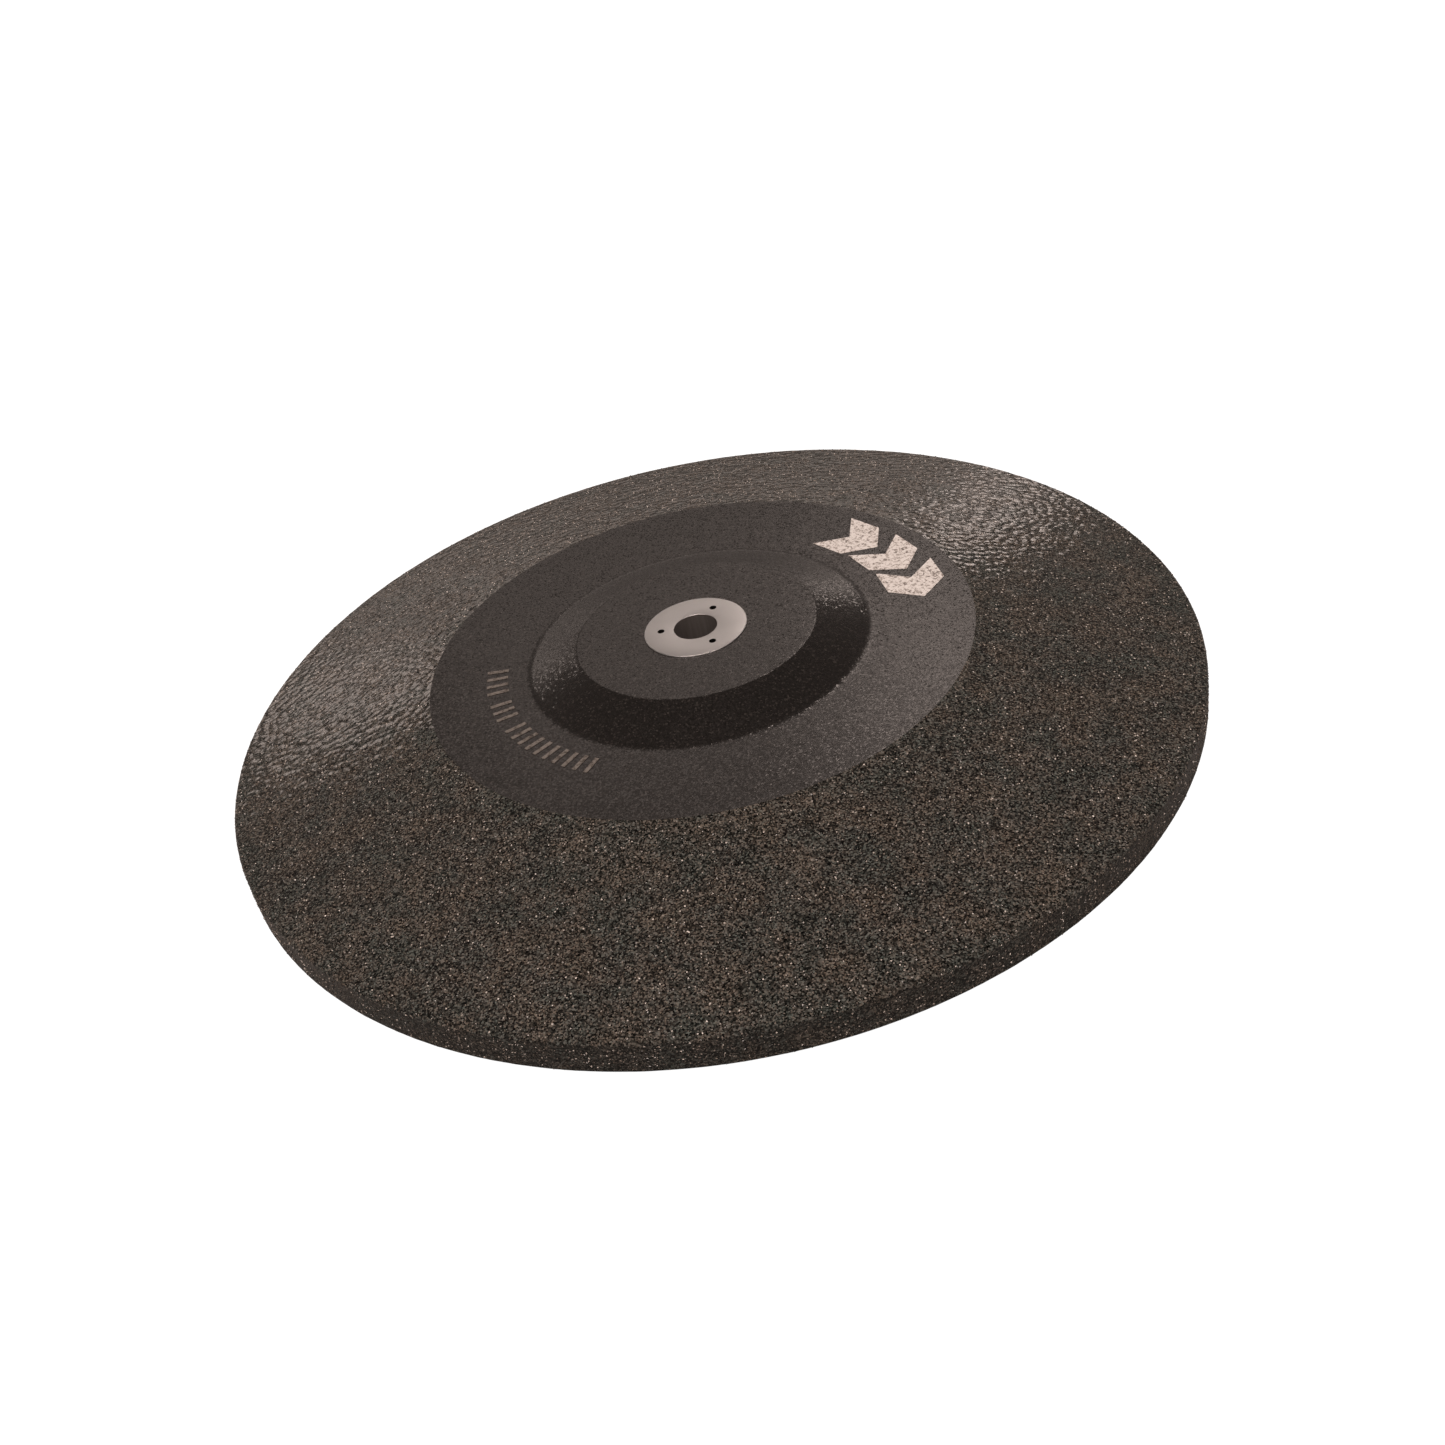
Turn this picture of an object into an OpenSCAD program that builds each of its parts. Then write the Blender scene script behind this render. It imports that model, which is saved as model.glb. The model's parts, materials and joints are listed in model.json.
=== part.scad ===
// Saucer grinding wheel with a raised hub: resin-bonded grit pressed in four layers
// round three glass-fibre meshes, a printed label, and a steel bush clinched at the bore.
//
// Millimetres. The wheel lies on its rim: z = 0 is the narrow flat land round the rim's
// working edge, and +Z is the wheel's axis, towards the raised hub and its label.
//
// Every layer follows one outline, the wheel's back, moved down by the layer's depth.

/* [Body] */
// Outside diameter of the wheel
wheel_d = 180; // [160:5:230]
// Thickness of the wheel at its rim
rim_t = 6.2; // [5.6:0.1:8]
// Height of the flat shoulder above the rim
dish_h = 9.6; // [6:0.2:14]
// Diameter of the flat shoulder
shoulder_d = 101; // [90:1:120]
// Height of the hub above the shoulder
hub_h = 3.2; // [2.4:0.1:4.6]
// Diameter of the hub's foot
hub_foot_d = 63.4; // [58:0.2:70]
// Diameter of the hub's flat top
hub_top_d = 44.4; // [36:0.2:48]
// Rounding of the hub's top edge
hub_edge_r = 1.5; // [0.5:0.1:3]
// Rounding of the hub's foot and of the shoulder's edge
foot_r = 5; // [2:0.5:8]
// Bevel of the rim's two edges
rim_bevel = 0.35; // [0.2:0.05:0.8]
// Width of the flat land and its bevel, which the wheel lies on
land_w = 1; // [0.9:0.1:2]

/* [Layers] */
// Thickness of the two outer grit layers
skin_t = 1.4; // [1.2:0.1:1.8]
// Thickness of one set of mesh yarns
yarn_t = 0.3; // [0.2:0.05:0.4]
// Width of one yarn
yarn_w = 1.6; // [0.8:0.1:2]
// Distance from yarn to yarn
yarn_pitch = 8; // [6:0.5:12]
// Distance from the rim to the edge of the meshes
mesh_margin = 2.5; // [2:0.5:6]

/* [Hub fitting] */
// Diameter of the bore
bore_d = 8; // [7:0.1:9]
// Wall of the bush's sleeve
sleeve_wall = 1; // [0.8:0.1:1.2]
// Diameter of the bush's flange and of the clinch ring
plate_d = 19; // [18:0.2:24]
// Thickness of the flange and of the ring
plate_t = 0.8; // [0.6:0.1:1]
// Height by which the flange and the ring stand proud
plate_proud = 0.2; // [0:0.05:0.4]
// Diameter of the three pin holes
pin_hole_d = 1.3; // [1.2:0.1:1.6]
// Diameter of the pin holes' circle
pin_circle_d = 12.8; // [12.4:0.2:14]

/* [Label] */
// Thickness of the label
label_t = 0.25; // [0.15:0.05:0.4]
// Thickness of the foil print
foil_t = 0.08; // [0.05:0.01:0.1]
// Number of chevrons that show the way round
chevrons = 3; // [2:1:4]
// Number of ticks in the marked arc
ticks = 17; // [9:2:21]

/* [Hidden] */

$fn = 128;
arc_steps = 4;             // straight pieces in each rounding of the outline
overcut = 0.1;             // how far a cutter runs past the face it opens

rim_r = wheel_d / 2;
shoulder_r = shoulder_d / 2;
plate_r = plate_d / 2;
sleeve_r = bore_d / 2 + sleeve_wall;
shoulder_z = rim_t + dish_h;
hub_z = shoulder_z + hub_h;
seat_depth = plate_t - plate_proud;    // how deep the flange and the ring are let in

dish_slope = dish_h / (rim_r - shoulder_r);
face_depth = rim_t + land_w * dish_slope;   // from the back down to the working face
core_t = (rim_t - 2 * skin_t) / 2;
seam_depths = [skin_t, skin_t + core_t, skin_t + 2 * core_t];   // back, middle and face seams

mesh_in_r = plate_r + 1;
mesh_out_r = rim_r - mesh_margin;

pin_count = 3;
pin_start = 60;            // angle of the first pin hole

clinch_lip = 0.4;          // how far the sleeve's end is spread over the ring
bore_bevel = 0.25;
plate_bevel = 0.15;

grit_colour = [0.22, 0.19, 0.17];
core_colour = [0.27, 0.23, 0.19];
mesh_colour = [0.80, 0.76, 0.62];
steel_colour = [0.62, 0.58, 0.56];
label_colour = [0.20, 0.19, 0.19];
foil_colour = [0.90, 0.86, 0.82];

// ---- Outline of the back ------------------------------------------------------------

// Points of a rounding of radius r at corner b, between the lines from a and to c.
function rounding(a, b, c, r) =
    let (
        u = (a - b) / norm(a - b),
        v = (c - b) / norm(c - b),
        half = acos(u * v) / 2,
        back = r / tan(half),
        mid = (u + v) / norm(u + v),
        centre = b + mid * (r / sin(half)),
        first = b + u * back - centre,
        last = b + v * back - centre,
        sweep = atan2(first.x * last.y - first.y * last.x, first * last)
    )
    [for (i = [0 : arc_steps])
        let (turn = sweep * i / arc_steps)
        centre + [
            first.x * cos(turn) - first.y * sin(turn),
            first.x * sin(turn) + first.y * cos(turn)
        ]];

// The four corners of the outline, from the axis to the rim, at a depth below the back.
function corners(depth) = [
    [0, hub_z - depth],
    [hub_top_d / 2, hub_z - depth],
    [hub_foot_d / 2, shoulder_z - depth],
    [shoulder_r, shoulder_z - depth],
    [rim_r, rim_t - depth]
];

// Height of the sharp-cornered outline at radius r.
function height_at(r, depth) = lookup(r, [for (p = corners(depth)) [p.x, p.y]]);

// The outline between two radii, with sharp corners or with rounded ones. One that ends at
// the shoulder's edge stays flat up to it.
function outline(from_r, to_r, depth, rounded = false) =
    let (
        k = corners(depth),
        past_shoulder = to_r > shoulder_r,
        inner = rounded
            ? concat(
                rounding(k[0], k[1], k[2], hub_edge_r),
                rounding(k[1], k[2], k[3], foot_r),
                past_shoulder ? rounding(k[2], k[3], k[4], foot_r) : [])
            : [k[1], k[2], k[3]]
    )
    concat(
        [[from_r, height_at(from_r, depth)]],
        [for (p = inner) if (p.x > from_r && p.x < to_r) p],
        [[to_r, height_at(to_r, depth)]]
    );

function reversed(points) = [for (i = [len(points) - 1 : -1 : 0]) points[i]];

// ---- Shared shapes ------------------------------------------------------------------

// A closed shell of revolution between two rows of points, both from the axis outwards.
module shell_between(top, bottom) {
    rotate_extrude() polygon(concat(top, reversed(bottom)));
}

// Straight yarns side by side, cut to the band between two distances from a seam.
module yarns(seam, above, below) {
    reach = ceil(mesh_out_r / yarn_pitch) + 1;
    intersection() {
        shell_between(
            outline(mesh_in_r, mesh_out_r, seam - above),
            outline(mesh_in_r, mesh_out_r, seam + below)
        );
        for (i = [-reach : reach])
            let (y = (i + 0.5) * yarn_pitch)
            if (abs(y) < mesh_out_r - 2 * yarn_w)
                translate([-rim_r, y - yarn_w / 2, 0]) cube([wheel_d, yarn_w, hub_z]);
    }
}

// Weft runs along X just above a seam, and warp along Y just below it. A cutter for the
// grooves runs past the seam, out of the layer that it cuts.
module weft(seam, past = 0) {
    yarns(seam, yarn_t, past);
}

module warp(seam, past = 0) {
    rotate(90) yarns(seam, past, yarn_t);
}

module pin_holes() {
    for (i = [0 : pin_count - 1])
        rotate(pin_start + i * 360 / pin_count)
            translate([pin_circle_d / 2, 0, 0])
                cylinder(h = hub_z + plate_t, d = pin_hole_d);
}

// A grit layer between two rows of points, keyed to the yarns pressed into its two faces.
module grit_layer(top, bottom, seam_above = undef, seam_below = undef) {
    difference() {
        shell_between(top, bottom);
        if (seam_above != undef) warp(seam_above, overcut);
        if (seam_below != undef) weft(seam_below, overcut);
        pin_holes();
    }
}

// ---- Grit layers --------------------------------------------------------------------

// The back layer has a seat for the bush's flange and one for the label.
module back_grit_layer() {
    top = concat(
        [[sleeve_r, hub_z - seat_depth], [plate_r, hub_z - seat_depth]],
        outline(plate_r, shoulder_r, label_t, rounded = true),
        [[shoulder_r, shoulder_z],
         [rim_r - rim_bevel, height_at(rim_r - rim_bevel, 0)],
         [rim_r, rim_t - rim_bevel]]
    );
    color(grit_colour)
        grit_layer(top, outline(sleeve_r, rim_r, seam_depths[0]), seam_below = seam_depths[0]);
}

module upper_grit_layer() {
    color(core_colour)
        grit_layer(
            outline(sleeve_r, rim_r, seam_depths[0]),
            outline(sleeve_r, rim_r, seam_depths[1]),
            seam_above = seam_depths[0],
            seam_below = seam_depths[1]
        );
}

module lower_grit_layer() {
    color(core_colour)
        grit_layer(
            outline(sleeve_r, rim_r, seam_depths[1]),
            outline(sleeve_r, rim_r, seam_depths[2]),
            seam_above = seam_depths[1],
            seam_below = seam_depths[2]
        );
}

// The face layer is the one that grinds. The clinch ring is let into it.
module face_grit_layer() {
    seat_z = hub_z - face_depth + seat_depth;
    bottom = concat(
        [[sleeve_r, seat_z], [plate_r, seat_z]],
        outline(plate_r, rim_r - land_w, face_depth, rounded = true),
        [[rim_r - rim_bevel, 0], [rim_r, rim_bevel]]
    );
    color(grit_colour)
        grit_layer(outline(sleeve_r, rim_r, seam_depths[2]), bottom, seam_above = seam_depths[2]);
}

// ---- Fibre meshes --------------------------------------------------------------------

// Each mesh is two sets of yarns that cross at a seam, half in the layer on each side.
module mesh_warp(seam) {
    color(mesh_colour) warp(seam);
}

module mesh_weft(seam) {
    color(mesh_colour) weft(seam);
}

// ---- Hub fitting --------------------------------------------------------------------

// Pressed steel: a flange on the back, and a sleeve whose end is spread over the clinch ring.
module flanged_bush() {
    top_z = hub_z + plate_proud;
    flange_z = hub_z - seat_depth;
    end_z = hub_z - face_depth - plate_proud;
    color(steel_colour)
        difference() {
            rotate_extrude()
                polygon([
                    [bore_d / 2, end_z],
                    [sleeve_r + clinch_lip, end_z],
                    [sleeve_r, end_z + clinch_lip],
                    [sleeve_r, flange_z],
                    [plate_r, flange_z],
                    [plate_r, top_z - plate_bevel],
                    [plate_r - plate_bevel, top_z],
                    [bore_d / 2 + bore_bevel, top_z],
                    [bore_d / 2, top_z - bore_bevel]
                ]);
            pin_holes();
        }
}

module clinch_ring() {
    low_z = hub_z - face_depth - plate_proud;
    high_z = low_z + plate_t;
    color(steel_colour)
        difference() {
            rotate_extrude()
                polygon([
                    [sleeve_r + clinch_lip, low_z],
                    [plate_r - plate_bevel, low_z],
                    [plate_r, low_z + plate_bevel],
                    [plate_r, high_z],
                    [sleeve_r, high_z],
                    [sleeve_r, low_z + clinch_lip]
                ]);
            pin_holes();
        }
}

// ---- Label --------------------------------------------------------------------------

// Printed fibre paper, pressed flush into the back from the flange to the shoulder's edge.
module label_disc() {
    color(label_colour)
        shell_between(
            outline(plate_r, shoulder_r, 0, rounded = true),
            outline(plate_r, shoulder_r, label_t, rounded = true)
        );
}

// One chevron, centred on the label's printed ring and pointing clockwise.
module chevron(width, length, thickness) {
    point_share = 0.42;    // how far its point runs ahead, as a share of its width
    point = width * point_share;
    for (side = [-1, 1])
        linear_extrude(thickness)
            polygon([
                [0, -point],
                [side * width / 2, 0],
                [side * width / 2, length],
                [0, length - point]
            ]);
}

// Foil chevrons on one side of the label, and opposite them an arc of ticks in three groups.
module label_print() {
    ring_r = (hub_foot_d + shoulder_d) / 4 + 0.6;   // middle of the printed ring
    chevron_w = 11;
    chevron_l = 7.4;
    chevron_step = 14.5;
    chevron_mid = 29;
    tick_r = 37.8;
    tick_h = 4;
    tick_w = 0.8;
    tick_step = 3.45;
    tick_mid = 211;
    group_gap = tick_step * 0.8;   // turn added between two groups of ticks
    second_group = 4;              // first tick of the second group, and of the third
    third_group = 7;
    color(foil_colour)
        translate([0, 0, shoulder_z]) {
            for (i = [0 : chevrons - 1])
                rotate(chevron_mid + (i - (chevrons - 1) / 2) * chevron_step)
                    translate([ring_r, -chevron_l / 4, 0])
                        chevron(chevron_w, chevron_l, foil_t);
            for (i = [0 : ticks - 1])
                let (side = i < second_group ? -1 : i < third_group ? 0 : 1)
                rotate(tick_mid + (i - (ticks - 1) / 2) * tick_step + side * group_gap)
                    translate([tick_r - tick_h / 2, -tick_w / 2, 0])
                        cube([tick_h, tick_w, foil_t]);
        }
}

// ---- Nodes --------------------------------------------------------------------------

flanged_bush();
clinch_ring();
label_disc();
label_print();
back_grit_layer();
upper_grit_layer();
lower_grit_layer();
face_grit_layer();
mesh_warp(seam_depths[0]);  // back_mesh_warp
mesh_weft(seam_depths[0]);  // back_mesh_weft
mesh_warp(seam_depths[1]);  // middle_mesh_warp
mesh_weft(seam_depths[1]);  // middle_mesh_weft
mesh_warp(seam_depths[2]);  // face_mesh_warp
mesh_weft(seam_depths[2]);  // face_mesh_weft
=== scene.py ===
"""Looks for the saucer grinding wheel: four layers of bonded grit with real relief and loose
grains, a printed label with foil chevrons, a steel bush and its ring, and the camera and
lights round them.

The wheel lies on its rim at z = 0, with its axis along +Z. Everything is in metres."""

import json
import math

import bmesh
import bpy
import numpy as np
from mathutils import Matrix, Vector


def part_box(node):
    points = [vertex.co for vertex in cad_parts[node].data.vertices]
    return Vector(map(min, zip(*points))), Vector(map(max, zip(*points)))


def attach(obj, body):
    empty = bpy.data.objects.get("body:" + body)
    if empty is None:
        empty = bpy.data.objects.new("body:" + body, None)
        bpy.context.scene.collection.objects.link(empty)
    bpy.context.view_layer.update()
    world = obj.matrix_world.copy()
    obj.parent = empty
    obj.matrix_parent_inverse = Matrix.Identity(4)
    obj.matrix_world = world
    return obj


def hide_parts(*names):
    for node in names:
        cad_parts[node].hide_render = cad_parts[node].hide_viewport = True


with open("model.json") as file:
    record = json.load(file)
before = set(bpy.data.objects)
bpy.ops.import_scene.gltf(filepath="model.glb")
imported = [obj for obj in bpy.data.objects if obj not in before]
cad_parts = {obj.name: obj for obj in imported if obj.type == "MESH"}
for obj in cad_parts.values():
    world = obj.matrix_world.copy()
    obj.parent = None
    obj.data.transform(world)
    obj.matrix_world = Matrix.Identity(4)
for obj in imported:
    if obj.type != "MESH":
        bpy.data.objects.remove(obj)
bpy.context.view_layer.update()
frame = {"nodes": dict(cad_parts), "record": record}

MM = 0.001
NODES = frame["nodes"]
BODY = "root"           # the wheel has no joints, so every piece rides on this


# ---- Sizes read from the frame -------------------------------------------------------

TOUCH = 0.002 * MM      # vertices this close to a height or radius are on it


def span(node, height):
    """The least and greatest radius of a CAD node's vertices at a height."""
    radii = [math.hypot(v.co.x, v.co.y) for v in NODES[node].data.vertices
             if abs(v.co.z - height) < TOUCH]
    return min(radii), max(radii)


def heights(node, radius):
    """The lowest and highest place of a CAD node's vertices at a radius."""
    found = [v.co.z for v in NODES[node].data.vertices
             if abs(math.hypot(v.co.x, v.co.y) - radius) < TOUCH]
    return min(found), max(found)


RIM_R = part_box("back_grit_layer")[1].x
LABEL_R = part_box("label_disc")[1].x
PLATE_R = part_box("flanged_bush")[1].x
HUB_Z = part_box("label_disc")[1].z
SHOULDER_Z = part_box("label_print")[0].z

LAND_R, LAND_EDGE_R = span("face_grit_layer", 0.0)
RIM_BEVEL = RIM_R - LAND_EDGE_R
RIM_TOP_Z = heights("back_grit_layer", RIM_R)[1] + RIM_BEVEL
BACK_SEAM, MIDDLE_SEAM, FACE_SEAM = [       # depths below the back
    RIM_TOP_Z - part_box(node)[0].z
    for node in ("back_grit_layer", "upper_grit_layer", "lower_grit_layer")]
HUB_TOP_R = span("upper_grit_layer", HUB_Z - BACK_SEAM)[1]
HUB_FOOT_R = span("back_grit_layer", SHOULDER_Z - BACK_SEAM)[0]
TOP_ROUNDING = HUB_TOP_R - span("label_disc", HUB_Z)[1]
FOOT_ROUNDING = span("label_disc", SHOULDER_Z)[0] - HUB_FOOT_R
LABEL_T = HUB_Z - heights("label_disc", PLATE_R)[0]
DISH_SLOPE = (SHOULDER_Z - RIM_TOP_Z) / (RIM_R - LABEL_R)
FACE_DEPTH = RIM_TOP_Z + (RIM_R - LAND_R) * DISH_SLOPE

MOUNTS = {mount["name"]: mount for mount in frame["record"]["mounts"]}
BORE_R = MOUNTS["bore"]["dims"]["r_mm"] * MM
PIN_R = MOUNTS["pin_holes"]["dims"]["hole_r_mm"] * MM
PIN_CIRCLE_R = MOUNTS["pin_holes"]["dims"]["pcd_mm"] / 2 * MM
PIN_COUNT = MOUNTS["pin_holes"]["dims"]["count"]
PIN_START = math.radians(60)
SLEEVE_R = min(math.hypot(v.co.x, v.co.y) for v in NODES["back_grit_layer"].data.vertices)


# ---- Camera --------------------------------------------------------------------------

# Places are in wheel radii from the centre of the rim's upper edge.
CAMERA_FROM = Vector((0.3856, -2.9704, 2.0322))
CAMERA_AT = Vector((0.0305, -0.1425, 0.0))
CAMERA_ROLL = math.radians(-12.19)
CAMERA_ANGLE = math.radians(45)
CAMERA_NEAR = 10 * MM   # nothing closer than this shows


def rim_point(place):
    """A place in wheel radii, in metres in the wheel's frame."""
    return place * RIM_R + Vector((0, 0, RIM_TOP_Z))


def add_camera():
    """The camera, rolled a little clockwise, so that the wheel leans the other way."""
    data = bpy.data.cameras.new("camera")
    data.sensor_fit = "HORIZONTAL"
    data.angle = CAMERA_ANGLE
    data.clip_start = CAMERA_NEAR
    camera = bpy.data.objects.new("camera", data)
    bpy.context.scene.collection.objects.link(camera)
    look = (CAMERA_AT - CAMERA_FROM).to_track_quat("-Z", "Y").to_matrix()
    roll = Matrix.Rotation(CAMERA_ROLL, 3, "Z")
    camera.matrix_world = Matrix.Translation(rim_point(CAMERA_FROM)) @ (look @ roll).to_4x4()
    bpy.context.scene.camera = camera


add_camera()


# ---- Node helpers --------------------------------------------------------------------

def linear(hex_colour, alpha=1.0):
    """An sRGB hex colour as linear light."""
    channels = [int(hex_colour[i:i + 2], 16) / 255 for i in (1, 3, 5)]
    return [c / 12.92 if c <= 0.04045 else ((c + 0.055) / 1.055) ** 2.4
            for c in channels] + [alpha]


def set_stops(ramp, stops):
    """Gives a colour ramp its stops of (place, hex colour)."""
    while len(ramp.elements) < len(stops):
        ramp.elements.new(1.0)
    for element, (place, hex_colour) in zip(ramp.elements, stops):
        element.position = place
        element.color = linear(hex_colour)


def add(tree, kind, settings=None, **links):
    """Adds a node. settings hold its properties, its unlinked inputs by name or number, and
    a colour ramp's stops. links say what feeds an input, named with underscores for spaces,
    or input_N by number."""
    node = tree.nodes.new(kind)
    for name, value in (settings or {}).items():
        if name == "stops":
            set_stops(node.color_ramp, value)
        elif isinstance(name, str) and hasattr(node, name):
            setattr(node, name, value)
        else:
            node.inputs[name].default_value = value
    for name, source in links.items():
        number = name.removeprefix("input_")
        socket = node.inputs[int(number) if number.isdigit() else name.replace("_", " ")]
        tree.links.new(source, socket)
    return node


def new_material(name):
    """An empty node material and its tree."""
    material = bpy.data.materials.new(name)
    material.use_nodes = True
    tree = material.node_tree
    tree.nodes.clear()
    return material, tree


# ---- Materials -----------------------------------------------------------------------

# Sizes of what each pattern shows.
GRIT = 0.24 * MM        # bonded grit
PEBBLE = 1.45 * MM      # pebbles of the resin skin over the grit
CLOUD = 7 * MM          # richer and leaner patches of the mix
CHIP = 0.2 * MM         # chips on a loose grain's facets
FACET = 0.26 * MM       # facets that the grit presses into the label
CRAZE = 0.8 * MM        # cracks of the foil over the paper's tooth
SMUDGE = 3 * MM         # duller patches of the faced steel

# These are too fine in life to show, so they are drawn coarser.
TURNING = 1.2 * MM      # draws lines 0.38 mm apart, for tool marks of 0.1 to 0.2 mm
DRAWING = 0.9 * MM      # for the scratches of a press tool, of 0.1 mm or less
DRAWN_OUT = 0.06        # those scratches are this much slower to change along the axis
STRAND = 0.3 * MM       # bundles of glass filaments, each filament 0.01 mm thick


def bonded_grit():
    """Resin-bonded brown alumina, pressed and cured: grains of every brown and grey in a
    thin glossy skin of phenolic resin, clouded where the mix is richer or leaner. The palest
    grain cells, up to white, are partly the grains' own tone and partly painted glints."""
    material, tree = new_material("pressed_resin_bonded_grit")
    place = add(tree, "ShaderNodeTexCoord").outputs["Object"]
    clouds = add(tree, "ShaderNodeTexNoise",
                 {"Scale": 1 / CLOUD, "Detail": 3.0, "Roughness": 0.55}, Vector=place)
    body = add(tree, "ShaderNodeValToRGB",
               {"stops": [(0.34, "#686E6C"), (0.46, "#717371"), (0.56, "#777571"),
                          (0.70, "#7C7872")]}, Fac=clouds.outputs["Fac"])
    grains = add(tree, "ShaderNodeTexVoronoi", {"Scale": 1 / GRIT}, Vector=place)
    pick = add(tree, "ShaderNodeSeparateColor", Color=grains.outputs["Color"])
    # the top stops, pale to white, are partly the grains' own tone and partly painted glints
    shade = add(tree, "ShaderNodeValToRGB",
                {"stops": [(0.0, "#0E0E0E"), (0.3, "#585857"), (0.65, "#A09E9C"),
                           (0.9, "#F4F1EE"), (1.0, "#FFFFFF")]}, Fac=pick.outputs["Red"])
    hue = add(tree, "ShaderNodeValToRGB",
              {"stops": [(0.0, "#E0E9E6"), (0.5, "#EEEBE9"), (1.0, "#F8EBE0")]},
              Fac=pick.outputs["Blue"])
    mottled = add(tree, "ShaderNodeMix",
                  {"data_type": "RGBA", "blend_type": "MULTIPLY", "Factor": 1.0},
                  input_6=body.outputs["Color"], input_7=shade.outputs["Color"])
    stained = add(tree, "ShaderNodeMix",
                  {"data_type": "RGBA", "blend_type": "MULTIPLY", "Factor": 1.0},
                  input_6=mottled.outputs[2], input_7=hue.outputs["Color"])
    gritty = add(tree, "ShaderNodeTexNoise",
                 {"Scale": 1 / GRIT, "Detail": 1.0, "Roughness": 0.6}, Vector=place)
    knobs = add(tree, "ShaderNodeTexVoronoi",
                {"feature": "SMOOTH_F1", "Scale": 1 / PEBBLE, "Smoothness": 0.3},
                Vector=place)
    rough = add(tree, "ShaderNodeMapRange", {"To Min": 0.08, "To Max": 0.18},
                Value=pick.outputs["Green"])
    coarse = add(tree, "ShaderNodeBump",
                 {"Strength": 1.0, "Distance": 0.12 * MM, "invert": True},
                 Height=knobs.outputs["Distance"])
    fine = add(tree, "ShaderNodeBump", {"Strength": 1.0, "Distance": 0.006 * MM},
               Height=gritty.outputs["Fac"], Normal=coarse.outputs["Normal"])
    shader = add(tree, "ShaderNodeBsdfPrincipled", {"IOR": 1.55},
                 Base_Color=stained.outputs[2], Roughness=rough.outputs["Result"],
                 Normal=fine.outputs["Normal"])
    add(tree, "ShaderNodeOutputMaterial", Surface=shader.outputs["BSDF"])
    return material


def loose_grain():
    """Crushed brown alumina: glassy broken facets, mostly brown-black and a few pale. Each
    grain has one tone; the palest tones are partly real pale grains and partly painted glints."""
    material, tree = new_material("crushed_brown_alumina")
    tone = add(tree, "ShaderNodeAttribute", {"attribute_name": "tone"})
    # the top stops, up to near white, are partly painted glints
    colour = add(tree, "ShaderNodeValToRGB",
                 {"stops": [(0.0, "#1F1C1A"), (0.35, "#3A3531"), (0.65, "#635B54"),
                            (0.88, "#958B82"), (1.0, "#E6DED6")]},
                 Fac=tone.outputs["Fac"])
    place = add(tree, "ShaderNodeTexCoord").outputs["Object"]
    chips = add(tree, "ShaderNodeTexNoise", {"Scale": 1 / CHIP, "Detail": 1.0},
                Vector=place)
    bump = add(tree, "ShaderNodeBump", {"Strength": 0.5, "Distance": 0.03 * MM},
               Height=chips.outputs["Fac"])
    shader = add(tree, "ShaderNodeBsdfPrincipled", {"Roughness": 0.30, "IOR": 1.76},
                 Base_Color=colour.outputs["Color"], Normal=bump.outputs["Normal"])
    add(tree, "ShaderNodeOutputMaterial", Surface=shader.outputs["BSDF"])
    return material


def coated_paper():
    """Black-printed fibre paper under a satin coat: a warm near-black. The grit below presses
    through as fine facets, a few of them tipped enough to fleck the shine. The lighter
    facet cells are partly the paper's own flecks and partly painted glints."""
    material, tree = new_material("satin_coated_label_paper")
    place = add(tree, "ShaderNodeTexCoord").outputs["Object"]
    facets = add(tree, "ShaderNodeTexVoronoi", {"Scale": 1 / FACET}, Vector=place)
    pick = add(tree, "ShaderNodeSeparateColor", Color=facets.outputs["Color"])
    # the lighter top stops are partly the paper's own flecks and partly painted glints
    colour = add(tree, "ShaderNodeValToRGB",
                 {"stops": [(0.0, "#181716"), (0.6, "#1E1C1B"), (0.88, "#242221"),
                            (1.0, "#383533")]}, Fac=pick.outputs["Red"])
    steep = add(tree, "ShaderNodeMath", {"operation": "POWER", 1: 2.0},
                input_0=pick.outputs["Green"])
    tip = add(tree, "ShaderNodeMapRange", {"To Min": 0.03, "To Max": 0.22},
              Value=steep.outputs[0])
    centred = add(tree, "ShaderNodeVectorMath", {"operation": "SUBTRACT", 1: (0.5, 0.5, 0.5)},
                  input_0=facets.outputs["Color"])
    tipped = add(tree, "ShaderNodeVectorMath", {"operation": "SCALE"},
                 input_0=centred.outputs[0], Scale=tip.outputs["Result"])
    level = add(tree, "ShaderNodeNewGeometry").outputs["Normal"]
    normal = add(tree, "ShaderNodeVectorMath", {"operation": "ADD"}, input_0=level,
                 input_1=tipped.outputs[0])
    unit = add(tree, "ShaderNodeVectorMath", {"operation": "NORMALIZE"},
               input_0=normal.outputs[0])
    rough = add(tree, "ShaderNodeMapRange", {"To Min": 0.29, "To Max": 0.10},
                Value=steep.outputs[0])
    shader = add(tree, "ShaderNodeBsdfPrincipled", {"IOR": 1.5},
                 Base_Color=colour.outputs["Color"], Roughness=rough.outputs["Result"],
                 Normal=unit.outputs[0])
    add(tree, "ShaderNodeOutputMaterial", Surface=shader.outputs["BSDF"])
    return material


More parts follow.
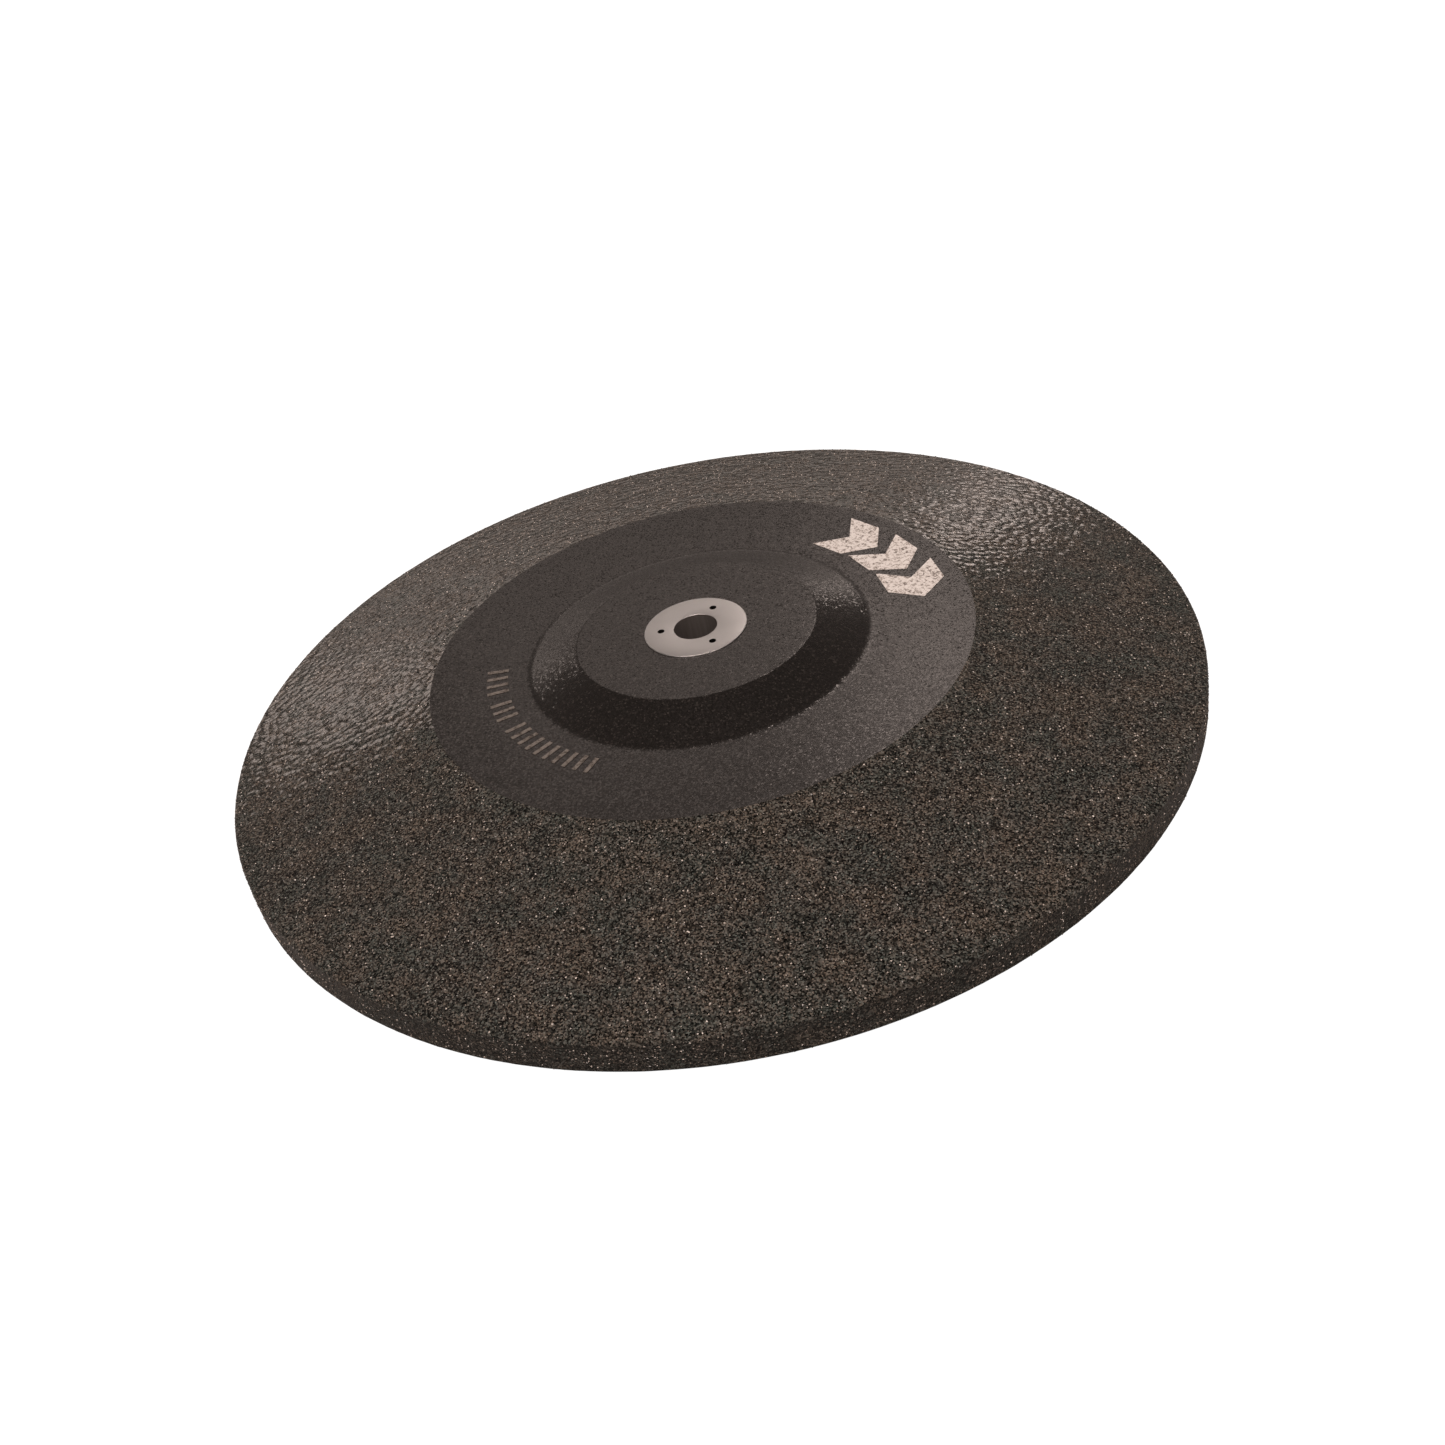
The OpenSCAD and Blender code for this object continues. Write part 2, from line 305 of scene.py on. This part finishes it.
def stamped_foil():
    """Hot-stamped aluminium foil: off-white, crazed down to the paper by its tooth. The small
    ticks took less foil than the chevrons and show grey."""
    material, tree = new_material("hot_stamped_aluminium_foil")
    place = add(tree, "ShaderNodeTexCoord").outputs["Object"]
    crazing = add(tree, "ShaderNodeTexNoise",
                  {"Scale": 1 / CRAZE, "Detail": 4.0, "Roughness": 0.75,
                   "Distortion": 0.8}, Vector=place)
    colour = add(tree, "ShaderNodeValToRGB",
                 {"stops": [(0.38, "#5E5550"), (0.45, "#C9C2BC"), (0.52, "#F4F1EE")]},
                 Fac=crazing.outputs["Fac"])
    side = add(tree, "ShaderNodeSeparateXYZ", Vector=place).outputs["Y"]
    thin = add(tree, "ShaderNodeMath", {"operation": "LESS_THAN", 1: 0.0}, input_0=side)
    dull = add(tree, "ShaderNodeMix",
               {"data_type": "RGBA", "blend_type": "MULTIPLY", 7: linear("#8C8884")},
               input_0=thin.outputs[0], input_6=colour.outputs["Color"])
    bump = add(tree, "ShaderNodeBump", {"Strength": 0.5, "Distance": 0.05 * MM},
               Height=crazing.outputs["Fac"])
    shader = add(tree, "ShaderNodeBsdfPrincipled", {"Metallic": 0.35, "Roughness": 0.45},
                 Base_Color=dull.outputs[2], Normal=bump.outputs["Normal"])
    add(tree, "ShaderNodeOutputMaterial", Surface=shader.outputs["BSDF"])
    return material


def turned_steel():
    """Pressed mild steel, faced in a lathe: warm grey satin with fine turning lines."""
    material, tree = new_material("turned_mild_steel")
    place = add(tree, "ShaderNodeTexCoord").outputs["Object"]
    lines = add(tree, "ShaderNodeTexWave",
                {"wave_type": "RINGS", "rings_direction": "Z", "Scale": 1 / TURNING,
                 "Distortion": 0.4, "Detail": 2.0}, Vector=place)
    smudge = add(tree, "ShaderNodeTexNoise", {"Scale": 1 / SMUDGE, "Detail": 3.0},
                 Vector=place)
    rough = add(tree, "ShaderNodeMapRange", {"To Min": 0.30, "To Max": 0.46},
                Value=smudge.outputs["Fac"])
    bump = add(tree, "ShaderNodeBump", {"Strength": 0.12, "Distance": 0.01 * MM},
               Height=lines.outputs["Fac"])
    shader = add(tree, "ShaderNodeBsdfPrincipled",
                 {"Metallic": 1.0, "Base Color": linear("#D8D8D8")},
                 Roughness=rough.outputs["Result"], Normal=bump.outputs["Normal"])
    add(tree, "ShaderNodeOutputMaterial", Surface=shader.outputs["BSDF"])
    return material


def drawn_steel(name, dark, light):
    """A wall of the bush as it came from the press, never faced: dull, with faint drawing
    marks along the axis."""
    material, tree = new_material(name)
    place = add(tree, "ShaderNodeTexCoord").outputs["Object"]
    along = add(tree, "ShaderNodeMapping", {"Scale": (1.0, 1.0, DRAWN_OUT)}, Vector=place)
    marks = add(tree, "ShaderNodeTexNoise", {"Scale": 1 / DRAWING, "Detail": 2.0},
                Vector=along.outputs["Vector"])
    colour = add(tree, "ShaderNodeValToRGB", {"stops": [(0.3, dark), (0.7, light)]},
                 Fac=marks.outputs["Fac"])
    bump = add(tree, "ShaderNodeBump", {"Strength": 0.2, "Distance": 0.02 * MM},
               Height=marks.outputs["Fac"])
    shader = add(tree, "ShaderNodeBsdfPrincipled", {"Metallic": 0.8, "Roughness": 0.62},
                 Base_Color=colour.outputs["Color"], Normal=bump.outputs["Normal"])
    add(tree, "ShaderNodeOutputMaterial", Surface=shader.outputs["BSDF"])
    return material


def glass_yarn():
    """Resin-dipped glass roving: honey-coloured, with the strands' fine lines."""
    material, tree = new_material("resin_dipped_glass_yarn")
    place = add(tree, "ShaderNodeTexCoord").outputs["Object"]
    strands = add(tree, "ShaderNodeTexNoise", {"Scale": 1 / STRAND, "Detail": 2.0},
                  Vector=place)
    colour = add(tree, "ShaderNodeValToRGB", {"stops": [(0.3, "#A8925C"), (0.7, "#D8C796")]},
                 Fac=strands.outputs["Fac"])
    bump = add(tree, "ShaderNodeBump", {"Strength": 0.5, "Distance": 0.05 * MM},
               Height=strands.outputs["Fac"])
    shader = add(tree, "ShaderNodeBsdfPrincipled", {"Roughness": 0.4},
                 Base_Color=colour.outputs["Color"], Normal=bump.outputs["Normal"])
    add(tree, "ShaderNodeOutputMaterial", Surface=shader.outputs["BSDF"])
    return material


BONDED = bonded_grit()
GRAIN = loose_grain()
PAPER = coated_paper()
FOIL = stamped_foil()
STEEL = turned_steel()
BORE_STEEL = drawn_steel("drawn_mild_steel", "#77726F", "#868280")
# near-black steel for the pin holes' walls: painted shade in the holes
PIN_HOLE_SHADE_STEEL = drawn_steel("pin_hole_painted_shade_steel", "#1B1A19", "#2A2827")
YARN = glass_yarn()


# ---- Turned bodies -------------------------------------------------------------------

# An outline is a list of points (radius, height), or (radius, height, out, up) where the
# last two are the way its grit is raised there. It runs out along the top, down the rim
# and back in along the underside.

def spread(points, step):
    """The points with more put between them, no further apart than step."""
    rows = [points[0]]
    for start, end in zip(points, points[1:]):
        parts = max(1, math.ceil(math.hypot(end[0] - start[0], end[1] - start[1]) / step))
        rows += [tuple(a + (b - a) * i / parts for a, b in zip(start, end))
                 for i in range(1, parts + 1)]
    return rows


def rounding(before, corner, after, length, steps=6):
    """Points of a soft corner that starts and ends a length away from the sharp one."""
    before, corner, after = Vector(before), Vector(corner), Vector(after)
    start = corner + (before - corner).normalized() * length
    end = corner + (after - corner).normalized() * length
    return [tuple(start.lerp(corner, i / steps).lerp(corner.lerp(end, i / steps), i / steps))
            for i in range(steps + 1)]


def turned(name, outline, segments, material):
    """A closed body of revolution round +Z. Its "raised" attribute holds the way its grit
    is raised."""
    rows = np.array([(*point, 0.0, 0.0)[:4] for point in outline])
    turns = np.arange(segments)[:, None] * (2 * math.pi / segments)
    cos, sin = np.cos(turns), np.sin(turns)
    flat = np.ones_like(turns)
    places = np.stack([cos * rows[:, 0], sin * rows[:, 0], flat * rows[:, 1]], axis=-1)
    ways = np.stack([cos * rows[:, 2], sin * rows[:, 2], flat * rows[:, 3]], axis=-1)
    here = np.arange(segments * len(rows)).reshape(segments, len(rows))
    on = np.roll(here, -1, axis=1)
    faces = np.stack([here, on, np.roll(on, -1, axis=0), np.roll(here, -1, axis=0)], axis=-1)
    mesh = bpy.data.meshes.new(name)
    mesh.from_pydata(places.reshape(-1, 3).tolist(), [], faces.reshape(-1, 4).tolist())
    raised = mesh.attributes.new("raised", "FLOAT_VECTOR", "POINT")
    raised.data.foreach_set("vector", ways.astype(np.float32).ravel())
    mesh.materials.append(material)
    piece = bpy.data.objects.new(name, mesh)
    bpy.context.scene.collection.objects.link(piece)
    return piece


def bake(piece):
    """Runs the piece's modifiers and keeps the result as its plain mesh, without the empty
    material slot that a scattering leaves."""
    depsgraph = bpy.context.evaluated_depsgraph_get()
    mesh = bpy.data.meshes.new_from_object(piece.evaluated_get(depsgraph))
    for i in reversed(range(len(mesh.materials))):
        if mesh.materials[i] is None:
            mesh.materials.pop(index=i)
    piece.modifiers.clear()
    piece.data = mesh


def grow(piece, tree, **sizes):
    """Runs a node tree with its named inputs on the piece."""
    modifier = piece.modifiers.new(tree.name, "NODES")
    modifier.node_group = tree
    for item in tree.interface.items_tree:
        if item.in_out == "INPUT" and item.name in sizes:
            modifier[item.identifier] = sizes[item.name]
    bake(piece)


def cut(piece, cutter, material):
    """Takes the cutter's space out of the piece and gives the new walls a material."""
    cutter.data.materials.clear()
    cutter.data.materials.append(material)
    modifier = piece.modifiers.new("cut", "BOOLEAN")
    modifier.operation = "DIFFERENCE"
    modifier.solver = "MANIFOLD"
    modifier.material_mode = "TRANSFER"
    modifier.object = cutter
    bake(piece)


def shade(piece, sharp=30):
    """Shades the piece smooth, with edges left crisp from an angle in degrees up."""
    piece.data.shade_smooth()
    piece.data.set_sharp_from_angle(angle=math.radians(sharp))


def finish(piece, slot, *nodes):
    """Puts a finished piece on the wheel in place of its CAD nodes."""
    if "raised" in piece.data.attributes:
        piece.data.attributes.remove(piece.data.attributes["raised"])
    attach(piece, BODY)
    if nodes:
        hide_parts(*nodes)


def pins():
    """Rods to cut the pin holes with, through the whole wheel."""
    mesh = bpy.data.meshes.new("pins")
    form = bmesh.new()
    for i in range(PIN_COUNT):
        turn = PIN_START + i * 2 * math.pi / PIN_COUNT
        middle = Vector((math.cos(turn), math.sin(turn), 0)) * PIN_CIRCLE_R
        bmesh.ops.create_cone(form, cap_ends=True, segments=48, radius1=PIN_R, radius2=PIN_R,
                              depth=4 * HUB_Z, matrix=Matrix.Translation(middle))
    form.to_mesh(mesh)
    form.free()
    rods = bpy.data.objects.new("pins", mesh)
    bpy.context.scene.collection.objects.link(rods)
    return rods


# ---- Node trees ----------------------------------------------------------------------

def new_tree(name, *inputs):
    """A geometry tree with a geometry socket each way and other inputs of (name, kind)."""
    tree = bpy.data.node_groups.new(name, "GeometryNodeTree")
    tree.interface.new_socket("Geometry", in_out="OUTPUT", socket_type="NodeSocketGeometry")
    for label, kind in (("Geometry", "Geometry"), *inputs):
        tree.interface.new_socket(label, in_out="INPUT", socket_type="NodeSocket" + kind)
    return tree, add(tree, "NodeGroupInput").outputs


RAISED = 0.6            # how far up the slope from a smooth edge the grains start


def relief_tree():
    """Raises a pressed skin: pebbles of uneven outline, on slow waves."""
    tree, given = new_tree("pressed_relief", ("Pebble", "Float"), ("Height", "Float"),
                           ("Wave", "Float"), ("Swell", "Float"), ("Seed", "Float"),
                           ("Material", "Material"))
    place = add(tree, "GeometryNodeInputPosition").outputs[0]
    per_pebble = add(tree, "ShaderNodeMath", {"operation": "DIVIDE", 0: 1.0},
                     input_1=given["Pebble"]).outputs[0]
    per_wave = add(tree, "ShaderNodeMath", {"operation": "DIVIDE", 0: 1.0},
                   input_1=given["Wave"]).outputs[0]
    stir = add(tree, "ShaderNodeTexNoise", {"noise_dimensions": "4D", "Detail": 1.0},
               Vector=place, Scale=per_pebble, W=given["Seed"])
    centred = add(tree, "ShaderNodeVectorMath", {"operation": "SUBTRACT", 1: (0.5, 0.5, 0.5)},
                  input_0=stir.outputs["Color"])
    shift = add(tree, "ShaderNodeVectorMath", {"operation": "SCALE"},
                input_0=centred.outputs[0], Scale=given["Pebble"])
    stirred = add(tree, "ShaderNodeVectorMath", {"operation": "ADD"}, input_0=place,
                  input_1=shift.outputs[0])
    pebbles = add(tree, "ShaderNodeTexVoronoi",
                  {"voronoi_dimensions": "4D", "feature": "SMOOTH_F1", "Smoothness": 0.5},
                  Vector=stirred.outputs[0], Scale=per_pebble, W=given["Seed"])
    domes = add(tree, "ShaderNodeMapRange",
                {"From Min": 0.1, "From Max": 0.75, "To Min": 0.5, "To Max": -0.5},
                Value=pebbles.outputs["Distance"])
    dome_height = add(tree, "ShaderNodeMath", {"operation": "MULTIPLY"},
                      input_0=domes.outputs["Result"], input_1=given["Height"])
    waves = add(tree, "ShaderNodeTexNoise", {"noise_dimensions": "4D", "Detail": 2.0},
                Vector=place, Scale=per_wave, W=given["Seed"])
    wave = add(tree, "ShaderNodeMath", {"operation": "SUBTRACT", 1: 0.5},
               input_0=waves.outputs["Fac"])
    height = add(tree, "ShaderNodeMath", {"operation": "MULTIPLY_ADD"},
                 input_0=wave.outputs[0], input_1=given["Swell"],
                 input_2=dome_height.outputs[0])
    raised = add(tree, "GeometryNodeInputNamedAttribute",
                 {"data_type": "FLOAT_VECTOR", "Name": "raised"})
    offset = add(tree, "ShaderNodeVectorMath", {"operation": "SCALE"},
                 input_0=raised.outputs["Attribute"], Scale=height.outputs[0])
    moved = add(tree, "GeometryNodeSetPosition", Geometry=given["Geometry"],
                Offset=offset.outputs[0])
    real = add(tree, "GeometryNodeRealizeInstances", Geometry=moved.outputs[0])
    made = add(tree, "GeometryNodeSetMaterial", Geometry=real.outputs[0],
               Material=given["Material"])
    add(tree, "NodeGroupOutput", Geometry=made.outputs[0])
    return tree


def grain_tree():
    """Sets eight-sided crystals half into the raised grit, turned any way, each of its own
    size, proportions and tone. None sits so low that it could reach below the rim's land."""
    tree, given = new_tree("scattered_grains", ("Density", "Float"), ("Least", "Float"),
                           ("Greatest", "Float"), ("Sink", "Float"), ("Seed", "Int"),
                           ("Material", "Material"))
    raised = add(tree, "GeometryNodeInputNamedAttribute",
                 {"data_type": "FLOAT_VECTOR", "Name": "raised"})
    length = add(tree, "ShaderNodeVectorMath", {"operation": "LENGTH"},
                 input_0=raised.outputs["Attribute"])
    rough = add(tree, "FunctionNodeCompare", {"operation": "GREATER_THAN", 1: RAISED},
                input_0=length.outputs["Value"])
    place = add(tree, "GeometryNodeInputPosition").outputs[0]
    height = add(tree, "ShaderNodeSeparateXYZ", Vector=place).outputs["Z"]
    clear = add(tree, "FunctionNodeCompare", {"operation": "GREATER_THAN"}, input_0=height,
                input_1=given["Greatest"])
    free = add(tree, "FunctionNodeBooleanMath", {"operation": "AND"},
               input_0=rough.outputs[0], input_1=clear.outputs[0])
    points = add(tree, "GeometryNodeDistributePointsOnFaces", Mesh=given["Geometry"],
                 Selection=free.outputs[0], Density=given["Density"], Seed=given["Seed"])
    sink = add(tree, "ShaderNodeVectorMath", {"operation": "SCALE"},
               input_0=points.outputs["Normal"], Scale=given["Sink"])
    sunk = add(tree, "GeometryNodeSetPosition", Geometry=points.outputs["Points"],
               Offset=sink.outputs[0])
    tone = add(tree, "FunctionNodeRandomValue", {"data_type": "FLOAT"}, Seed=given["Seed"])
    toned = add(tree, "GeometryNodeStoreNamedAttribute",
                {"data_type": "FLOAT", "domain": "POINT", "Name": "tone"},
                Geometry=sunk.outputs[0], Value=tone.outputs[1])
    crystal = add(tree, "GeometryNodeMeshUVSphere", {"Segments": 4, "Rings": 2, "Radius": 0.5})
    turn = add(tree, "FunctionNodeRandomValue",
               {"data_type": "FLOAT_VECTOR", 1: (2 * math.pi,) * 3}, Seed=given["Seed"])
    least = add(tree, "ShaderNodeCombineXYZ", X=given["Least"], Y=given["Least"],
                Z=given["Least"])
    greatest = add(tree, "ShaderNodeCombineXYZ", X=given["Greatest"], Y=given["Greatest"],
                   Z=given["Greatest"])
    size = add(tree, "FunctionNodeRandomValue", {"data_type": "FLOAT_VECTOR"},
               input_0=least.outputs[0], input_1=greatest.outputs[0], Seed=given["Seed"])
    grains = add(tree, "GeometryNodeInstanceOnPoints", Points=toned.outputs[0],
                 Instance=crystal.outputs["Mesh"], Rotation=turn.outputs[0],
                 Scale=size.outputs[0])
    real = add(tree, "GeometryNodeRealizeInstances", Geometry=grains.outputs[0])
    made = add(tree, "GeometryNodeSetMaterial", Geometry=real.outputs[0],
               Material=given["Material"])
    add(tree, "NodeGroupOutput", Geometry=made.outputs[0])
    return tree


RELIEF = relief_tree()
SCATTER = grain_tree()


# ---- Grit layers ---------------------------------------------------------------------

SEGMENTS = 900              # the same on every layer, so that their rims meet
STEP = 0.5 * MM             # between the rows of raised grit that show
UNDER_STEP = 1.0 * MM       # the same, on the working face
EDGE = 0.7 * MM             # how fast the relief grows from a smooth edge
GRIT_SHARP = 33             # degrees, above the relief's own steepest folds
SLANT = math.atan(DISH_SLOPE)
UP = (math.sin(SLANT), math.cos(SLANT))     # out of the back's cone
DOWN = (-UP[0], -UP[1])                     # out of the face's cone
OUT = (1.0, 0.0)                            # out of the rim
UNDER = (0.0, -1.0)                         # out of the face's flats
FLAT = (0.0, 0.0)                           # where nothing is raised


def back_at(radius, depth=0.0):
    """Height of the sharp-cornered back at a radius, or of a seam at a depth below it."""
    height = np.interp(radius, [HUB_TOP_R, HUB_FOOT_R, LABEL_R, RIM_R],
                       [HUB_Z, SHOULDER_Z, SHOULDER_Z, RIM_TOP_Z])
    return float(height) - depth


def seam(depth):
    """A seam between two layers, from the sleeve to just short of the rim."""
    return [(radius, back_at(radius, depth))
            for radius in (SLEEVE_R, HUB_TOP_R, HUB_FOOT_R, LABEL_R, RIM_R - EDGE)]


def hub_outline(depth):
    """The hub with its rounded edge and foot, from the bush's flange to the label's edge."""
    corners = [(radius, back_at(radius, depth))
               for radius in (PLATE_R, HUB_TOP_R, HUB_FOOT_R, LABEL_R)]
    return [corners[0], *rounding(*corners[:3], TOP_ROUNDING),
            *rounding(*corners[1:], FOOT_ROUNDING), corners[3]]


def rim_band(high, low):
    """The rim between two depths below the back, downwards."""
    return spread([(RIM_R, RIM_TOP_Z - high, *OUT), (RIM_R, RIM_TOP_Z - low, *OUT)], STEP)


def back_outline():
    """The outer layer: bare grit outside the label's seat, and the top of the rim."""
    flange_z = heights("flanged_bush", PLATE_R)[0]
    cone_start = LABEL_R + EDGE
    cone_end = RIM_R - RIM_BEVEL
    cone = spread([(LABEL_R, SHOULDER_Z, *FLAT), (cone_start, back_at(cone_start), *UP),
                   (cone_end, back_at(cone_end), *UP)], STEP)
    return [(SLEEVE_R, flange_z), (PLATE_R, flange_z), *hub_outline(LABEL_T), *cone,
            *rim_band(RIM_BEVEL, BACK_SEAM), *reversed(seam(BACK_SEAM))]


def core_outline(above, below):
    """A layer of the core, between two seams."""
    return [*seam(above), *rim_band(above, below), *reversed(seam(below))]


def face_outline():
    """The grinding layer: the bottom of the rim, its flat land, and the hollow face."""
    ring_z = heights("clinch_ring", PLATE_R)[1]
    hub = [(*point, *UNDER) for point in hub_outline(FACE_DEPTH)[1:]]
    cone = [(LABEL_R + EDGE, back_at(LABEL_R + EDGE, FACE_DEPTH), *DOWN),
            (LAND_R - EDGE, back_at(LAND_R - EDGE, FACE_DEPTH), *DOWN), (LAND_R, 0.0, *FLAT)]
    grit = spread([(PLATE_R + EDGE, back_at(PLATE_R, FACE_DEPTH), *UNDER), *hub, *cone],
                  UNDER_STEP)
    return [*seam(FACE_SEAM), *rim_band(FACE_SEAM, RIM_TOP_Z - RIM_BEVEL),
            (LAND_EDGE_R, 0.0), *reversed(grit), hub_outline(FACE_DEPTH)[0],
            (PLATE_R, ring_z), (SLEEVE_R, ring_z)]


def add_layer(name, outline, slot, density):
    """A grit layer with its relief and its pin holes, and the grains set in it, so many to
    the square millimetre."""
    layer = turned(name + "_grit", outline, SEGMENTS, BONDED)
    grow(layer, RELIEF, Pebble=PEBBLE, Height=0.05 * MM, Wave=9 * MM, Swell=0.10 * MM,
         Seed=3.0, Material=BONDED)
    grains = bpy.data.objects.new(name + "_grains", layer.data.copy())
    bpy.context.scene.collection.objects.link(grains)
    grow(grains, SCATTER, Density=density * PER_MM2, Least=0.25 * MM, Greatest=0.50 * MM,
         Sink=-0.06 * MM, Seed=11, Material=GRAIN)
    cut(layer, PINS, BONDED)
    shade(layer, GRIT_SHARP)
    finish(layer, slot, name + "_grit_layer")
    finish(grains, slot)


PINS = pins()
PER_MM2 = 1 / MM ** 2
add_layer("back", back_outline(), "outer_grit", 1.3)
add_layer("upper", core_outline(BACK_SEAM, MIDDLE_SEAM), "core_grit", 2.0)
add_layer("lower", core_outline(MIDDLE_SEAM, FACE_SEAM), "core_grit", 2.0)
add_layer("face", face_outline(), "outer_grit", 0.9)


# ---- Label ---------------------------------------------------------------------------

LABEL_SEGMENTS = 720
LABEL_STEP = 0.8 * MM       # between the rows of the label's relief


def add_label():
    """The printed label, let into the back flush with it."""
    top = spread([(*point, 0.0, 1.0) for point in hub_outline(0.0)], LABEL_STEP)
    top[0] = (*top[0][:2], *FLAT)
    top[-1] = (*top[-1][:2], *FLAT)
    label = turned("label", [*top, *reversed(hub_outline(LABEL_T))], LABEL_SEGMENTS,
                   PAPER)
    grow(label, RELIEF, Pebble=1.2 * MM, Height=0.03 * MM, Wave=12 * MM, Swell=0.05 * MM,
         Seed=5.0, Material=PAPER)
    shade(label)
    finish(label, "label_paper", "label_disc")


add_label()


# ---- Bush and ring -------------------------------------------------------------------

STEEL_SEGMENTS = 256
SOFT = 0.08 * MM            # rounding of the flange's edges, top and bore


def arc(centre, radius, start, end, steps=5):
    """Points of an arc between two angles in degrees, from the way out, upwards."""
    turns = np.radians(np.linspace(start, end, steps + 1))
    return [(centre[0] + radius * math.cos(a), centre[1] + radius * math.sin(a))
            for a in turns]


def add_bush():
    """The flanged sleeve: a pressed flange with softened edges, faced on top, and a sleeve
    whose end is spread over the ring."""
    low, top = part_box("flanged_bush")[0].z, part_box("flanged_bush")[1].z
    lip_r = span("clinch_ring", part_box("clinch_ring")[0].z)[0]
    flange_z = heights("flanged_bush", PLATE_R)[0]
    outline = [*arc((BORE_R + SOFT, top - SOFT), SOFT, 180, 90),
               *arc((PLATE_R - SOFT, top - SOFT), SOFT, 90, 0),
               (PLATE_R, flange_z), (SLEEVE_R, flange_z), (SLEEVE_R, low + lip_r - SLEEVE_R),
               (lip_r, low), (BORE_R, low)]
    bush = turned("bush", outline, STEEL_SEGMENTS, STEEL)
    bush.data.materials.append(BORE_STEEL)
    for face in bush.data.polygons:
        if math.hypot(face.center.x, face.center.y) < BORE_R + TOUCH:
            face.material_index = 1
    # the pin holes' walls get the near-black steel: painted shade
    cut(bush, PINS, PIN_HOLE_SHADE_STEEL)
    shade(bush)
    finish(bush, "steel", "flanged_bush")


def add_ring():
    """The ring that the sleeve's end clamps, with one softened edge."""
    low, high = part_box("clinch_ring")[0].z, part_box("clinch_ring")[1].z
    lip_r, flat_r = span("clinch_ring", low)
    edge = PLATE_R - flat_r
    outline = [(SLEEVE_R, high), (PLATE_R, high),
               *arc((flat_r, low + edge), edge, 0, -90),
               (lip_r, low), (SLEEVE_R, low + lip_r - SLEEVE_R)]
    ring = turned("ring", outline, STEEL_SEGMENTS, STEEL)
    # the pin holes' walls get the near-black steel: painted shade
    cut(ring, PINS, PIN_HOLE_SHADE_STEEL)
    shade(ring)
    finish(ring, "steel", "clinch_ring")


add_bush()
add_ring()
bpy.data.objects.remove(PINS)


# ---- Pieces whose CAD shape is right -------------------------------------------------

def restyle(node, material):
    """Gives a CAD node a better material."""
    for slot in NODES[node].material_slots:
        slot.material = material


restyle("label_print", FOIL)
for cloth in ("back", "middle", "face"):
    for direction in ("warp", "weft"):
        restyle(f"{cloth}_mesh_{direction}", YARN)


# ---- Floor and lights ----------------------------------------------------------------

def add_floor():
    """A pale floor that shows white, just below the wheel. It throws back less light than it
    shows, so that the wheel's low edges stay dark."""
    material, tree = new_material("matt_white_card")
    lit = add(tree, "ShaderNodeBsdfDiffuse", {"Color": linear("#6E6D6C")})
    seen = add(tree, "ShaderNodeLightPath").outputs["Is Camera Ray"]
    glow = add(tree, "ShaderNodeEmission", {"Color": linear("#FFFFFF")}, Strength=seen)
    both = add(tree, "ShaderNodeAddShader", input_0=lit.outputs[0], input_1=glow.outputs[0])
    add(tree, "ShaderNodeOutputMaterial", Surface=both.outputs[0])
    half = 60 * RIM_R
    low = -0.05 * MM
    mesh = bpy.data.meshes.new("floor")
    mesh.from_pydata([(-half, -half, low), (half, -half, low), (half, half, low),
                      (-half, half, low)], [], [(0, 1, 2, 3)])
    mesh.materials.append(material)
    floor = bpy.data.objects.new("floor", mesh)
    bpy.context.scene.collection.objects.link(floor)


WARM = "#FFECE2"            # the lamps' white
LIGHT_DISTANCE = 12 * RIM_R


def add_light(name, azimuth, elevation, width, height, radiance):
    """A soft box in a direction from the wheel, facing it. Its width and height are the
    angles that it fills. All angles are in degrees."""
    data = bpy.data.lights.new(name, "AREA")
    data.shape = "RECTANGLE"
    data.size = 2 * LIGHT_DISTANCE * math.tan(math.radians(width / 2))
    data.size_y = 2 * LIGHT_DISTANCE * math.tan(math.radians(height / 2))
    data.energy = radiance * math.pi * data.size * data.size_y
    data.color = linear(WARM)[:3]
    light = bpy.data.objects.new(name, data)
    bpy.context.scene.collection.objects.link(light)
    a, e = math.radians(azimuth), math.radians(elevation)
    way = Vector((math.cos(a) * math.cos(e), math.sin(a) * math.cos(e), math.sin(e)))
    light.location = way * LIGHT_DISTANCE
    light.rotation_euler = way.to_track_quat("Z", "Y").to_euler()


def add_world():
    """A studio that lights more from the horizon than from overhead, in front of a backdrop
    that shows white."""
    world = bpy.data.worlds.new("studio")
    bpy.context.scene.world = world
    world.use_nodes = True
    tree = world.node_tree
    tree.nodes.clear()
    way = add(tree, "ShaderNodeTexCoord").outputs["Generated"]
    height = add(tree, "ShaderNodeSeparateXYZ", Vector=way).outputs["Z"]
    sky = add(tree, "ShaderNodeValToRGB",
              {"stops": [(0.3, "#6B635E"), (0.65, "#544D49"), (0.95, "#2C2927")]},
              Fac=height)
    light = add(tree, "ShaderNodeBackground", Color=sky.outputs["Color"])
    backdrop = add(tree, "ShaderNodeBackground", {"Color": linear("#FFFFFF")})
    seen = add(tree, "ShaderNodeLightPath").outputs["Is Camera Ray"]
    both = add(tree, "ShaderNodeMixShader", Fac=seen, input_1=light.outputs[0],
               input_2=backdrop.outputs[0])
    add(tree, "ShaderNodeOutputWorld", Surface=both.outputs[0])


add_floor()
add_world()

# azimuth, elevation, width, height, radiance
add_light("right_lamp", 75, 13, 5, 4, 4.2)
add_light("left_lamp", 125, 18, 9, 7, 1.9)
add_light("right_box", 84, 37, 8, 6, 5.0)
add_light("back_box", 94, 32, 30, 14, 0.68)
add_light("back_strip", 98, 8, 44, 8, 0.5)
add_light("front_box", -90, 68, 60, 16, 11.3)
bpy.context.scene.view_settings.view_transform = "Standard"
